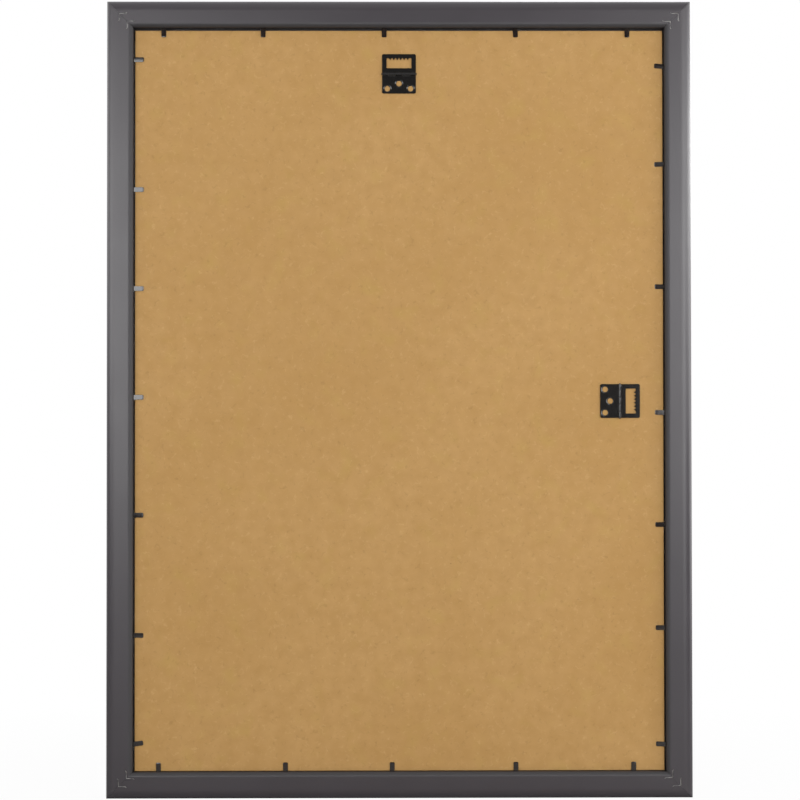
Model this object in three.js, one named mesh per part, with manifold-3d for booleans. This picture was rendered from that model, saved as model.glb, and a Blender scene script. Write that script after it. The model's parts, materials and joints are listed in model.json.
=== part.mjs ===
// Picture frame for a 500 x 700 mm picture: four mitred rails held by V-nails, a stack of glass, picture and
// backing board kept in the rebate by bendable steel tabs, and two hinged sawtooth hangers on the board.
// Millimetres. X runs to the right as seen from behind, Y from the wall into the room, Z up.
// The origin is the middle notch of the upper hanger, where the nail bears.
import * as THREE from "three";
import { mergeVertices } from "three/addons/utils/BufferGeometryUtils.js";
import Module from "manifold-3d";

const wasm = await Module();
wasm.setup();

// Picture format, and the play that its sheets have in the rebate
const PICTURE_WIDTH = 500;
const PICTURE_HEIGHT = 700;
const SHEET_PLAY = 1.25; // mean gap between a sheet's edge and the rebate wall
const SEAT_GAP = 0.3; // gap between pieces that rest on each other

// Rail section, measured inwards from the outer edge and forwards from the wall
const RAIL_BACK_WIDTH = 25; // outer edge to rebate wall
const RAIL_DEPTH = 20;
const REBATE_LIP = 5; // how far the front lip reaches over the glass
const LIP_THICKNESS = 7;
const BACK_ROUND = 6; // rounding between the back and the outer side
const FRONT_ROUND = 1.5;
const SLOPE_WIDTH = 5; // sloping shoulder between the back and the rebate wall
const SLOPE_DROP = 2.5;
const SLOPE_BLEND = 1.6; // soft start of that slope
const MITRE_GAP = 0.3;
const CURVE_STEPS = 3;

// Sheets
const GLASS_THICKNESS = 2;
const PICTURE_THICKNESS = 0.3;
const BOARD_THICKNESS = 3;

// V-nails: bent steel strips driven across each mitre from behind
const NAIL_ARM = 6.5;
const NAIL_HOOK = 0.7; // turned-out end of each arm
const NAIL_STRIP = 0.5;
const NAIL_HEIGHT = 8;
const NAIL_SINK = 0.3; // below the back face
const NAIL_CLEARANCE = 0.25;
const NAIL_CORNERS_FROM_EDGE = { outer: 12, inner: 19 };

// Bendable tabs: steel strips shot into the rebate wall by hand, flat on the board
const TAB_WIDTH = 4.5;
const TAB_THICKNESS = 0.5;
const TAB_REACH = 8.5; // wall to tip
const TAB_SHANK = 6.5; // length inside the rail
const TAB_TIP_ROUND = 0.8;
const TAB_POINT = 1.2; // bevel of the driven corners
const TAB_CLEARANCE = 0.3;
const TAB_END_MARGIN = 28; // corner of the rebate to the first tab
// Each row runs anticlockwise as seen from behind. drift is how far each tab missed its even place, in
// millimetres, and skew is how far it leans from square, in degrees.
const TAB_ROWS = {
  bottom: { drift: [-4, 4, -7, -2, -2.5], skew: [0, 0, 0, 0, 0] },
  right: { drift: [-3, -1, -11.5, -13.5, -2, 6.5, -8.5], skew: [2, 0, 0, 2, 0, -2, 5] },
  top: { drift: [7, 1.5, 14, 17, -0.5], skew: [0, -3, 0, 0, 0] },
  left: { drift: [2, 17.5, 3.5, -1.5, 2, 7.5, 2], skew: [0, 0, 0, 0, 0, 0, -8] },
};

// Hinged sawtooth hangers: two stamped leaves on a wire pin
const HANGER_WIDTH = 32;
const HANGER_FROM_BOARD_EDGE = 22.5; // board edge to the saw leaf's free edge
const SIDE_HANGER_DROP = 1.5; // below the board's middle
const LEAF_SHEET = 0.6;
const LEAF_CORNER = 1.6;
const SAW_LEAF_REACH = 19; // hinge axis to free edge
const BASE_LEAF_REACH = 18.5;
const WINDOW_WIDTH = 23.6;
const WINDOW_FROM_EDGE = 3.7; // free edge to the roots of the notches
const WINDOW_HEIGHT = 9.7;
const TEETH = 6;
const TOOTH_PITCH = 3.3;
const TOOTH_DEPTH = 1.3;
const TOOTH_FLAT = 0.7; // blunt tip, and equally the flat of each notch where the nail bears
const PIN_RADIUS = 0.45;
const PIN_PLAY = 0.2; // between pin and knuckle bore
const PIN_HEAD_RADIUS = 0.95;
const PIN_HEAD = 0.4;
const PIN_SIDES = 12;
const KNUCKLE_GAP = 0.3; // between neighbouring knuckles, and from a knuckle to the other leaf
const KNUCKLE_CURL = 280; // degrees that the sheet wraps round the pin
const KNUCKLE_STEPS = 14;
const CENTRE_KNUCKLE = 6; // width of the saw leaf's middle knuckle
const BASE_KNUCKLE = 7; // width of each of the base leaf's two knuckles
const HOLE_RADIUS = 2.3;
const HOLE_SIDES = 16;
const OUTER_HOLES = { across: 11, fromAxis: 13.8 };
const MIDDLE_HOLE_FROM_AXIS = 9;

// Prongs: the four petals torn from each hole, pushed through the board and clinched in front of it
const PRONGS = 4;
const PRONG_WIDTH = 1.6;
const PRONG_SHEET = 0.5;
const PRONG_FOOT = 2; // reach of the clinched foot, from the hole's edge
const PRONG_FOOT_SHEET = 0.4;
const PRONG_CLEARANCE = 0.3;
const CLINCH_DENT = 0.9; // depth that the clinch crushes into the board's front
const CLINCH_SIDES = 12;

// Finishes
const FINISHES = {
  rail: { color: 0x4c494b, roughness: 0.42, metalness: 0 },
  bareSteel: { color: 0x9a9a98, roughness: 0.35, metalness: 1 },
  glass: { color: 0xe6efec, roughness: 0.03, metalness: 0, transparent: true, opacity: 0.25 },
  paper: { color: 0xf2f0ea, roughness: 0.9, metalness: 0 },
  hardboard: { color: 0xb9935c, roughness: 0.75, metalness: 0 },
  tabSteel: { color: 0x2c2826, roughness: 0.35, metalness: 0.6 },
  blackSteel: { color: 0x1d1c1e, roughness: 0.4, metalness: 0.3 },
};

// Sizes that follow from those above
const REBATE_WIDTH = PICTURE_WIDTH + 2 * SHEET_PLAY;
const REBATE_HEIGHT = PICTURE_HEIGHT + 2 * SHEET_PLAY;
const OUTER_WIDTH = REBATE_WIDTH + 2 * RAIL_BACK_WIDTH;
const OUTER_HEIGHT = REBATE_HEIGHT + 2 * RAIL_BACK_WIDTH;
const LIP_BACK = RAIL_DEPTH - LIP_THICKNESS;
const GLASS_BACK = LIP_BACK - SEAT_GAP - GLASS_THICKNESS;
const PICTURE_BACK = GLASS_BACK - SEAT_GAP - PICTURE_THICKNESS;
const BOARD_BACK = PICTURE_BACK - SEAT_GAP - BOARD_THICKNESS;
const TAB_BACK = BOARD_BACK - SEAT_GAP - TAB_THICKNESS;
const STACK_DROP = SHEET_PLAY - SEAT_GAP; // the sheets stand on the bottom rail
const KNUCKLE_BORE = PIN_RADIUS + PIN_PLAY;
const KNUCKLE_RADIUS = KNUCKLE_BORE + LEAF_SHEET;
const LEAF_SETBACK = KNUCKLE_RADIUS + KNUCKLE_GAP; // hinge axis to a leaf's edge beside the other's knuckles
const UPPER_AXIS = PICTURE_HEIGHT / 2 - STACK_DROP - HANGER_FROM_BOARD_EDGE - SAW_LEAF_REACH;
const SIDE_AXIS = PICTURE_WIDTH / 2 - HANGER_FROM_BOARD_EDGE - SAW_LEAF_REACH;
const NOTCH_FROM_AXIS = SAW_LEAF_REACH - WINDOW_FROM_EDGE;
const LEAF_MIDDLE = BOARD_BACK - SEAT_GAP - LEAF_SHEET / 2;
const QUARTER = Math.PI / 2;
const MERGE_WITHIN = 1e-4; // vertices closer than this are one
const CUT_PAST = 2; // how far a cut runs past the face that it starts from

// Sides and corners, anticlockwise from behind: where each stands and how far it is turned about Y
const SIDES = {
  bottom: { x: 0, z: -OUTER_HEIGHT / 2, turn: 0, length: OUTER_WIDTH },
  right: { x: OUTER_WIDTH / 2, z: 0, turn: -QUARTER, length: OUTER_HEIGHT },
  top: { x: 0, z: OUTER_HEIGHT / 2, turn: 2 * QUARTER, length: OUTER_WIDTH },
  left: { x: -OUTER_WIDTH / 2, z: 0, turn: QUARTER, length: OUTER_HEIGHT },
};
const CORNERS = {
  bottom_left: { x: -OUTER_WIDTH / 2, z: -OUTER_HEIGHT / 2, turn: 0 },
  bottom_right: { x: OUTER_WIDTH / 2, z: -OUTER_HEIGHT / 2, turn: -QUARTER },
  top_right: { x: OUTER_WIDTH / 2, z: OUTER_HEIGHT / 2, turn: 2 * QUARTER },
  top_left: { x: -OUTER_WIDTH / 2, z: OUTER_HEIGHT / 2, turn: QUARTER },
};

// Solids for joining and cutting

function solidOf(geometry) {
  const bare = geometry.index ? geometry.toNonIndexed() : geometry.clone();
  bare.deleteAttribute("normal");
  bare.deleteAttribute("uv");
  const merged = mergeVertices(bare, MERGE_WITHIN);
  const vertProperties = merged.attributes.position.array;
  const triVerts = new Uint32Array(merged.index.array);
  return new wasm.Manifold(new wasm.Mesh({ numProp: 3, vertProperties, triVerts }));
}

function geometryOf(solid) {
  const { vertProperties, triVerts } = solid.getMesh();
  const geometry = new THREE.BufferGeometry();
  geometry.setAttribute("position", new THREE.BufferAttribute(new Float32Array(vertProperties), 3));
  geometry.setIndex(new THREE.BufferAttribute(new Uint32Array(triVerts), 1));
  geometry.computeVertexNormals();
  return geometry;
}

function joined(first, ...others) {
  return geometryOf(others.reduce((solid, g) => solid.add(solidOf(g)), solidOf(first)));
}

function cut(geometry, cutters) {
  return geometryOf(cutters.reduce((solid, g) => solid.subtract(solidOf(g)), solidOf(geometry)));
}

// Shapes

// An outline drawn in X and Z, made into a plate between two depths along Y.
function plate(shape, back, front) {
  const geometry = new THREE.ExtrudeGeometry(shape, {
    depth: front - back,
    bevelEnabled: false,
    curveSegments: CURVE_STEPS,
  });
  return geometry.rotateX(QUARTER).translate(0, front, 0);
}

// A section drawn in Z and Y, made into a bar along X, centred on X = 0.
function bar(shape, length) {
  const geometry = new THREE.ExtrudeGeometry(shape, {
    depth: length,
    bevelEnabled: false,
    curveSegments: CURVE_STEPS,
  });
  return geometry.translate(0, 0, -length / 2).rotateY(-QUARTER);
}

function box(low, high) {
  const size = high.map((value, i) => value - low[i]);
  const middle = high.map((value, i) => (value + low[i]) / 2);
  return new THREE.BoxGeometry(...size).translate(...middle);
}

// A polygon with the corners that are listed as [x, z, radius] rounded off.
function roundedShape(corners) {
  const shape = new THREE.Shape();
  corners.forEach(([x, z, radius], i) => {
    const corner = new THREE.Vector2(x, z);
    const before = new THREE.Vector2(...corners.at(i - 1));
    const after = new THREE.Vector2(...corners[(i + 1) % corners.length]);
    const enter = before.sub(corner).setLength(radius).add(corner);
    const leave = after.sub(corner).setLength(radius).add(corner);
    if (i === 0) shape.moveTo(enter.x, enter.y);
    else shape.lineTo(enter.x, enter.y);
    if (radius > 0) shape.quadraticCurveTo(x, z, leave.x, leave.y);
  });
  return shape;
}

// A strip of even thickness along a bent line of [x, z] points, with mitred bends.
function ribbon(line, thickness) {
  const points = line.map((p) => new THREE.Vector2(...p));
  const normalOf = (i) => {
    const along = points[i + 1].clone().sub(points[i]).normalize();
    return new THREE.Vector2(-along.y, along.x);
  };
  const offsets = points.map((_, i) => {
    const before = normalOf(Math.max(i - 1, 0));
    const after = normalOf(Math.min(i, points.length - 2));
    const middle = before.clone().add(after).normalize();
    return middle.multiplyScalar(thickness / 2 / middle.dot(after));
  });
  const left = points.map((p, i) => p.clone().add(offsets[i]));
  const right = points.map((p, i) => p.clone().sub(offsets[i])).reverse();
  return new THREE.Shape([...left, ...right]);
}

function turnedTo(geometry, place) {
  return geometry.rotateY(place.turn).translate(place.x, 0, place.z);
}

function piece(name, geometry, finish) {
  const material = new THREE.MeshStandardMaterial(FINISHES[finish]);
  const mesh = new THREE.Mesh(geometry, material);
  mesh.name = name;
  return mesh;
}

function groupAt(place) {
  const group = new THREE.Group();
  group.position.set(place.x, 0, place.z);
  group.rotation.y = place.turn;
  return group;
}

// Rails

// The rail's section: Z inwards from the outer edge, Y forwards from the wall.
function railSection() {
  const wall = RAIL_BACK_WIDTH;
  const sight = RAIL_BACK_WIDTH + REBATE_LIP;
  const slopeStart = wall - SLOPE_WIDTH;
  const blendDrop = (SLOPE_BLEND * SLOPE_DROP) / SLOPE_WIDTH;
  const front = RAIL_DEPTH - FRONT_ROUND;
  const section = new THREE.Shape();
  section.moveTo(BACK_ROUND, 0);
  section.lineTo(slopeStart - SLOPE_BLEND, 0);
  section.quadraticCurveTo(slopeStart, 0, slopeStart + SLOPE_BLEND, blendDrop);
  section.lineTo(wall, SLOPE_DROP);
  section.lineTo(wall, LIP_BACK);
  section.lineTo(sight, LIP_BACK);
  section.lineTo(sight, front);
  section.absarc(sight - FRONT_ROUND, front, FRONT_ROUND, 0, QUARTER);
  section.lineTo(FRONT_ROUND, RAIL_DEPTH);
  section.absarc(FRONT_ROUND, front, FRONT_ROUND, QUARTER, 2 * QUARTER);
  section.lineTo(0, BACK_ROUND);
  section.absarc(BACK_ROUND, BACK_ROUND, BACK_ROUND, 2 * QUARTER, 3 * QUARTER);
  return section;
}

// Shears a bar's square ends to the 45 degree mitre.
function mitred(geometry, length) {
  const at = geometry.attributes.position;
  for (let i = 0; i < at.count; i += 1) {
    const end = length / 2 - at.getZ(i) - MITRE_GAP / Math.SQRT2;
    at.setX(i, Math.sign(at.getX(i)) * end);
  }
  return geometry;
}

function tabPlaces(side) {
  const { drift, skew } = TAB_ROWS[side];
  const first = RAIL_BACK_WIDTH + TAB_END_MARGIN - SIDES[side].length / 2;
  const pitch = (-2 * first) / (drift.length - 1);
  return drift.map((missed, i) => ({
    x: first + i * pitch + missed,
    z: RAIL_BACK_WIDTH,
    turn: THREE.MathUtils.degToRad(skew[i]),
  }));
}

function tabSlot(place) {
  const across = TAB_WIDTH / 2 + TAB_CLEARANCE;
  const low = [-across, TAB_BACK - TAB_CLEARANCE, -TAB_SHANK - TAB_CLEARANCE];
  const high = [across, TAB_BACK + TAB_THICKNESS + TAB_CLEARANCE, CUT_PAST];
  return turnedTo(box(low, high), place);
}

function nailSlots(length) {
  const ends = [
    { x: -length / 2, z: 0, turn: 0 },
    { x: length / 2, z: 0, turn: -QUARTER },
  ];
  const strip = NAIL_STRIP + 2 * NAIL_CLEARANCE;
  const bottom = NAIL_SINK + NAIL_HEIGHT + NAIL_CLEARANCE;
  return ends.flatMap((end) =>
    Object.values(NAIL_CORNERS_FROM_EDGE).map((corner) =>
      turnedTo(plate(ribbon(nailLine(corner, NAIL_CLEARANCE), strip), -CUT_PAST, bottom), end),
    ),
  );
}

function rail(side) {
  const { length } = SIDES[side];
  const blank = mitred(bar(railSection(), length), length);
  return cut(blank, [...tabPlaces(side).map(tabSlot), ...nailSlots(length)]);
}

// V-nails

// The strip's middle line, from one hooked end round the corner on the mitre to the other.
function nailLine(corner, extra) {
  const end = corner + NAIL_ARM;
  const hook = NAIL_HOOK + extra;
  const half = [
    [end + hook, corner - hook],
    [end, corner],
  ];
  const mirrored = half.map(([x, z]) => [z, x]).reverse();
  return [...half, [corner, corner], ...mirrored];
}

function vNail(corner) {
  return plate(ribbon(nailLine(corner, 0), NAIL_STRIP), NAIL_SINK, NAIL_SINK + NAIL_HEIGHT);
}

// Tabs

function tab() {
  const half = TAB_WIDTH / 2;
  const outline = roundedShape([
    [half, TAB_REACH, TAB_TIP_ROUND],
    [-half, TAB_REACH, TAB_TIP_ROUND],
    [-half, TAB_POINT - TAB_SHANK, 0],
    [TAB_POINT - half, -TAB_SHANK, 0],
    [half - TAB_POINT, -TAB_SHANK, 0],
    [half, TAB_POINT - TAB_SHANK, 0],
  ]);
  return plate(outline, TAB_BACK, TAB_BACK + TAB_THICKNESS);
}

// Sheets

function sheet(back, thickness) {
  const low = [-PICTURE_WIDTH / 2, back, -PICTURE_HEIGHT / 2];
  const high = [PICTURE_WIDTH / 2, back + thickness, PICTURE_HEIGHT / 2];
  return box(low, high).translate(0, 0, -STACK_DROP);
}

// Hangers, drawn with the hinge axis along X, the saw leaf towards +Z, and Y = 0 on the board's back

const HOLES = [
  { x: -OUTER_HOLES.across, z: OUTER_HOLES.fromAxis },
  { x: 0, z: MIDDLE_HOLE_FROM_AXIS },
  { x: OUTER_HOLES.across, z: OUTER_HOLES.fromAxis },
];
const HANGERS = {
  upper: { x: 0, z: UPPER_AXIS, turn: 0 },
  side: { x: SIDE_AXIS, z: -STACK_DROP - SIDE_HANGER_DROP, turn: QUARTER },
};
const LEAF_FRONT = -SEAT_GAP;
const LEAF_BACK = LEAF_FRONT - LEAF_SHEET;
const PIN_Y = LEAF_FRONT - KNUCKLE_RADIUS;
const PRONG_FOOT_END = BOARD_THICKNESS - CLINCH_DENT + PRONG_CLEARANCE + PRONG_FOOT_SHEET;

// One knuckle: the leaf's sheet runs under the pin and curls back over it, leaving an open seam.
function knuckle(from, to) {
  const centre = KNUCKLE_RADIUS;
  const start = -QUARTER;
  const end = start - THREE.MathUtils.degToRad(KNUCKLE_CURL);
  const curl = (radius) =>
    Array.from({ length: KNUCKLE_STEPS + 1 }, (_, i) => {
      const angle = start + ((end - start) * i) / KNUCKLE_STEPS;
      return new THREE.Vector2(radius * Math.cos(angle), centre + radius * Math.sin(angle));
    });
  const root = [new THREE.Vector2(LEAF_SETBACK, LEAF_SHEET), new THREE.Vector2(LEAF_SETBACK, 0)];
  const section = new THREE.Shape([...root, ...curl(KNUCKLE_RADIUS), ...curl(KNUCKLE_BORE).reverse()]);
  const geometry = new THREE.ExtrudeGeometry(section, { depth: to - from, bevelEnabled: false });
  const toHanger = new THREE.Matrix4().makeBasis(
    new THREE.Vector3(0, 0, 1),
    new THREE.Vector3(0, -1, 0),
    new THREE.Vector3(1, 0, 0),
  );
  return geometry.applyMatrix4(toHanger).translate(from, LEAF_FRONT, 0);
}

function leafBlank(reach) {
  const half = HANGER_WIDTH / 2;
  const outline = roundedShape([
    [half, reach, LEAF_CORNER],
    [-half, reach, LEAF_CORNER],
    [-half, LEAF_SETBACK, 0],
    [half, LEAF_SETBACK, 0],
  ]);
  return plate(outline, LEAF_BACK, LEAF_FRONT);
}

// The window with its sawtooth upper edge; the nail sits in a notch between two teeth.
function sawWindow() {
  const root = SAW_LEAF_REACH - WINDOW_FROM_EDGE;
  const tip = root - TOOTH_DEPTH;
  const sill = root - WINDOW_HEIGHT;
  const half = WINDOW_WIDTH / 2;
  const flank = (TOOTH_PITCH - 2 * TOOTH_FLAT) / 2;
  const window = new THREE.Shape();
  window.moveTo(half, sill);
  window.lineTo(half, root);
  for (let i = 0; i < TEETH; i += 1) {
    const middle = ((TEETH - 1) / 2 - i) * TOOTH_PITCH;
    const tooth = TOOTH_FLAT / 2;
    window.lineTo(middle + tooth + flank, root);
    window.lineTo(middle + tooth, tip);
    window.lineTo(middle - tooth, tip);
    window.lineTo(middle - tooth - flank, root);
  }
  window.lineTo(-half, root);
  window.lineTo(-half, sill);
  return plate(window, LEAF_BACK - CUT_PAST, LEAF_FRONT + CUT_PAST);
}

function sawLeaf() {
  const centre = CENTRE_KNUCKLE / 2;
  const outer = centre + BASE_KNUCKLE + 2 * KNUCKLE_GAP;
  const half = HANGER_WIDTH / 2;
  const knuckles = [knuckle(-half, -outer), knuckle(-centre, centre), knuckle(outer, half)];
  return cut(joined(leafBlank(SAW_LEAF_REACH), ...knuckles), [sawWindow()]);
}

// One petal: down through the board beside the hole, then bent outwards in front of it.
function prong(hole, turn) {
  const leg = HOLE_RADIUS + PRONG_SHEET;
  const foot = HOLE_RADIUS + PRONG_FOOT;
  const footStart = PRONG_FOOT_END - PRONG_FOOT_SHEET;
  const section = new THREE.Shape();
  section.moveTo(HOLE_RADIUS, (LEAF_BACK + LEAF_FRONT) / 2);
  section.lineTo(leg, (LEAF_BACK + LEAF_FRONT) / 2);
  section.lineTo(leg, footStart);
  section.lineTo(foot, footStart);
  section.lineTo(foot, PRONG_FOOT_END);
  section.lineTo(HOLE_RADIUS, PRONG_FOOT_END);
  return turnedTo(bar(section, PRONG_WIDTH), { ...hole, turn });
}

function prongTurns() {
  return Array.from({ length: PRONGS }, (_, i) => ((i + 0.5) * 2 * Math.PI) / PRONGS);
}

function prongSlot(hole, turn) {
  const across = PRONG_WIDTH / 2 + PRONG_CLEARANCE;
  const low = [-across, -CUT_PAST, HOLE_RADIUS - PRONG_CLEARANCE];
  const high = [across, BOARD_THICKNESS + CUT_PAST, HOLE_RADIUS + PRONG_SHEET + PRONG_CLEARANCE];
  return turnedTo(box(low, high), { ...hole, turn });
}

function clinchDent(hole) {
  const radius = HOLE_RADIUS + PRONG_FOOT + 2 * PRONG_CLEARANCE;
  const depth = CLINCH_DENT + CUT_PAST;
  const dent = new THREE.CylinderGeometry(radius, radius, depth, CLINCH_SIDES);
  return dent.translate(hole.x, BOARD_THICKNESS - CLINCH_DENT + depth / 2, hole.z);
}

function baseLeaf() {
  const near = CENTRE_KNUCKLE / 2 + KNUCKLE_GAP;
  const far = near + BASE_KNUCKLE;
  const prongs = HOLES.flatMap((hole) => prongTurns().map((turn) => prong(hole, turn)));
  const holes = HOLES.map((hole) => {
    const punch = new THREE.CylinderGeometry(HOLE_RADIUS, HOLE_RADIUS, LEAF_SHEET + 2 * CUT_PAST, HOLE_SIDES);
    return punch.translate(hole.x, (LEAF_BACK + LEAF_FRONT) / 2, hole.z);
  });
  const leaf = cut(joined(leafBlank(BASE_LEAF_REACH), knuckle(-far, -near), knuckle(near, far)), holes);
  return joined(leaf, ...prongs).rotateY(2 * QUARTER);
}

function hingePin() {
  const end = HANGER_WIDTH / 2 + KNUCKLE_GAP;
  const half = [
    new THREE.Vector2(PIN_RADIUS, end),
    new THREE.Vector2(PIN_HEAD_RADIUS, end),
    new THREE.Vector2(PIN_HEAD_RADIUS, end + PIN_HEAD),
    new THREE.Vector2(0, end + PIN_HEAD),
  ];
  const mirrored = half.map((p) => new THREE.Vector2(p.x, -p.y)).reverse();
  const pin = new THREE.LatheGeometry([...mirrored, ...half], PIN_SIDES);
  return pin.rotateZ(QUARTER).translate(0, PIN_Y, 0);
}

// The board is pierced by the prongs of both hangers and dented where they are clinched.
function backingBoard() {
  const cutters = Object.values(HANGERS).flatMap((place) => {
    const base = HOLES.map(({ x, z }) => ({ x: -x, z: -z }));
    const slots = base.flatMap((hole) => prongTurns().map((turn) => prongSlot(hole, turn)));
    return [...slots, ...base.map(clinchDent)].map((g) => turnedTo(g, place).translate(0, BOARD_BACK, 0));
  });
  return cut(sheet(BOARD_BACK, BOARD_THICKNESS), cutters);
}

// Assembly

const frame = new THREE.Group();
frame.name = "picture_frame";
frame.position.set(0, -LEAF_MIDDLE, -UPPER_AXIS - NOTCH_FROM_AXIS);

for (const side of Object.keys(SIDES)) {
  const group = groupAt(SIDES[side]);
  group.add(piece(`rail_${side}`, rail(side), "rail"));
  tabPlaces(side).forEach((place, i) => {
    const holder = groupAt(place);
    holder.add(piece(`tab_${side}_${i + 1}`, tab(), "tabSteel"));
    group.add(holder);
  });
  frame.add(group);
}

for (const corner of Object.keys(CORNERS)) {
  const group = groupAt(CORNERS[corner]);
  for (const [row, fromEdge] of Object.entries(NAIL_CORNERS_FROM_EDGE)) {
    group.add(piece(`v_nail_${corner}_${row}`, vNail(fromEdge), "bareSteel"));
  }
  frame.add(group);
}

frame.add(piece("glass_pane", sheet(GLASS_BACK, GLASS_THICKNESS), "glass"));
frame.add(piece("picture_sheet", sheet(PICTURE_BACK, PICTURE_THICKNESS), "paper"));
frame.add(piece("backing_board", backingBoard(), "hardboard"));

for (const name of Object.keys(HANGERS)) {
  const group = groupAt(HANGERS[name]);
  group.position.y = BOARD_BACK;
  group.add(piece(`${name}_hanger_base`, baseLeaf(), "blackSteel"));
  group.add(piece(`${name}_hanger_saw_leaf`, sawLeaf(), "blackSteel"));
  group.add(piece(`${name}_hanger_pin`, hingePin(), "blackSteel"));
  frame.add(group);
}

const part = new THREE.Group();
part.add(frame);

export default part;
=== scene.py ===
import json
import math

import bmesh
import bpy
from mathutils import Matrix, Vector


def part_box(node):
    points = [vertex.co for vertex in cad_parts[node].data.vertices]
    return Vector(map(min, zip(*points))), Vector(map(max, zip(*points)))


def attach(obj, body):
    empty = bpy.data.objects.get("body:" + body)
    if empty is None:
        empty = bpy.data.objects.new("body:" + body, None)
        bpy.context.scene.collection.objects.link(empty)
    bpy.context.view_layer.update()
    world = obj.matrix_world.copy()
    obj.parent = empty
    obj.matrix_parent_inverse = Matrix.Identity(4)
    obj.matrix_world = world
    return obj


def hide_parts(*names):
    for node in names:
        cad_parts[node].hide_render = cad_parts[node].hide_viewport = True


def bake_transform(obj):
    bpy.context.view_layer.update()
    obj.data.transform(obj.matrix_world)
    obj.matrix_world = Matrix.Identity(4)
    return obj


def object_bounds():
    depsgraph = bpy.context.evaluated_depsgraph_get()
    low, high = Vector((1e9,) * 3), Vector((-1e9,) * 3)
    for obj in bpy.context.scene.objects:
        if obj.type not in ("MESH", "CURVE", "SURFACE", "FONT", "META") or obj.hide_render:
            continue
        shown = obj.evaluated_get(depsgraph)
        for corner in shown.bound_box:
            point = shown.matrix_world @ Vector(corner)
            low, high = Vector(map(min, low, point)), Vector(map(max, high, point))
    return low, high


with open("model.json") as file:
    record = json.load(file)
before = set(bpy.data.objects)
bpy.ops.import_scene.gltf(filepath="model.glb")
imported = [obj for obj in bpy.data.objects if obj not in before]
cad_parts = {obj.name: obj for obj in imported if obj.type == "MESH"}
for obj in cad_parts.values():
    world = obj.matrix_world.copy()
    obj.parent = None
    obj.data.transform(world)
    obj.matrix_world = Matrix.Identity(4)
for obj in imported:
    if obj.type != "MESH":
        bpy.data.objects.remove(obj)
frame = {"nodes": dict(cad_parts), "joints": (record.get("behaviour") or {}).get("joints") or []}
cad_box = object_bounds()

# Rails
# Four lengths of moulding, extruded in foamed polystyrene with a smooth dark grey skin, sawn at 45 degrees,
# glued, and nailed at the corners. The back is flat, with a wide soft outer edge, and a shoulder dips to the
# rebate, which holds the sheets behind a narrow front lip.

MM = 0.001
whole_low, whole_high = cad_box
whole_middle = (whole_low + whole_high) / 2
whole_half = (whole_high - whole_low) / 2
rail_low, rail_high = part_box("rail_left")
RAIL_WIDTH = (rail_high.x - rail_low.x) / MM
RAIL_DEPTH = (rail_high.y - rail_low.y) / MM
REBATE_WALL = 25  # outer edge to rebate wall
LIP_BACK = 13  # wall plane to the lip that the glass lies on
SHOULDER_START = 22.5  # outer edge to the shoulder's crest
SHOULDER_DROP = 2.4
BACK_EDGE_EASE = (6, 9.5)  # how far the outer edge's rounding runs down the side and along the back
SHOULDER_EASE = 1.8
REBATE_EDGE_EASE = (0.6, 0.5)  # up the shoulder and down the wall
LIP_ROOT_EASE = 0.3
LIP_EDGE_EASE = 0.4
FRONT_EDGE_EASE = 1.5
MITRE_GAP = 0.2
EASE_STEPS = 8
EDGE_BREAK = 0.25  # share of a strip's thickness that is broken off along its edges
ROUND_UNDER = math.radians(50)  # edges flatter than this are shaded round

# Each side runs anticlockwise as seen from behind: its way along, and its way in from the outer edge
SIDES = {
    "bottom": (Vector((1, 0, 0)), Vector((0, 0, 1))),
    "right": (Vector((0, 0, 1)), Vector((-1, 0, 0))),
    "top": (Vector((-1, 0, 0)), Vector((0, 0, -1))),
    "left": (Vector((0, 0, -1)), Vector((1, 0, 0))),
}


def on_side(side, along, inward, depth):
    """A point by a rail: mm along from its middle, in from its outer edge, and forward from the wall."""
    along_way, inward_way = SIDES[side]
    outer_edge = whole_middle - inward_way * abs(whole_half.dot(inward_way))
    point = outer_edge + (along_way * along + inward_way * inward) * MM
    point.y = whole_low.y + depth * MM
    return point


def eased(corners, closed):
    """An outline through corners of (x, y, ease before, ease after), each corner rounded by a curve."""
    outline = []
    for i, (x, y, before, after) in enumerate(corners):
        corner = Vector((x, y))
        if not closed and i in (0, len(corners) - 1):
            outline.append(corner)
            continue
        last, following = Vector(corners[i - 1][:2]), Vector(corners[(i + 1) % len(corners)][:2])
        enter = corner + (last - corner).normalized() * before
        leave = corner + (following - corner).normalized() * after
        for k in range(EASE_STEPS + 1):
            t = k / EASE_STEPS
            outline.append(enter * (1 - t) ** 2 + corner * 2 * t * (1 - t) + leave * t**2)
    return outline


def loft(shape, rings):
    """Adds a closed skin over rings of points, capped at both ends."""
    loops = [[shape.verts.new(point) for point in ring] for ring in rings]
    for ring, following in zip(loops, loops[1:]):
        for i in range(len(ring)):
            j = (i + 1) % len(ring)
            shape.faces.new((ring[i], ring[j], following[j], following[i]))
    shape.faces.new(loops[0])
    shape.faces.new(loops[-1])


def bent_strip(shape, line, widths, thickness, across):
    """Adds a strip of sheet bent along a line of points, with its width across and its edges broken."""
    rings = []
    for i, point in enumerate(line):
        run = line[min(i + 1, len(line) - 1)] - line[max(i - 1, 0)]
        up = across.cross(run).normalized()
        side, face = widths[i] / 2, thickness / 2
        broken = thickness * EDGE_BREAK
        quarter = [(side, face - broken), (side - broken, face)]
        half = quarter + [(-x, y) for x, y in reversed(quarter)]
        ring = half + [(-x, -y) for x, y in half]
        rings.append([point + (across * x + up * y) * MM for x, y in ring])
    loft(shape, rings)


def mesh_of(shape):
    """The mesh of a finished shape, with its faces turned outwards."""
    bmesh.ops.recalc_face_normals(shape, faces=shape.faces)
    mesh = bpy.data.meshes.new("solid")
    shape.to_mesh(mesh)
    shape.free()
    return mesh


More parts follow.
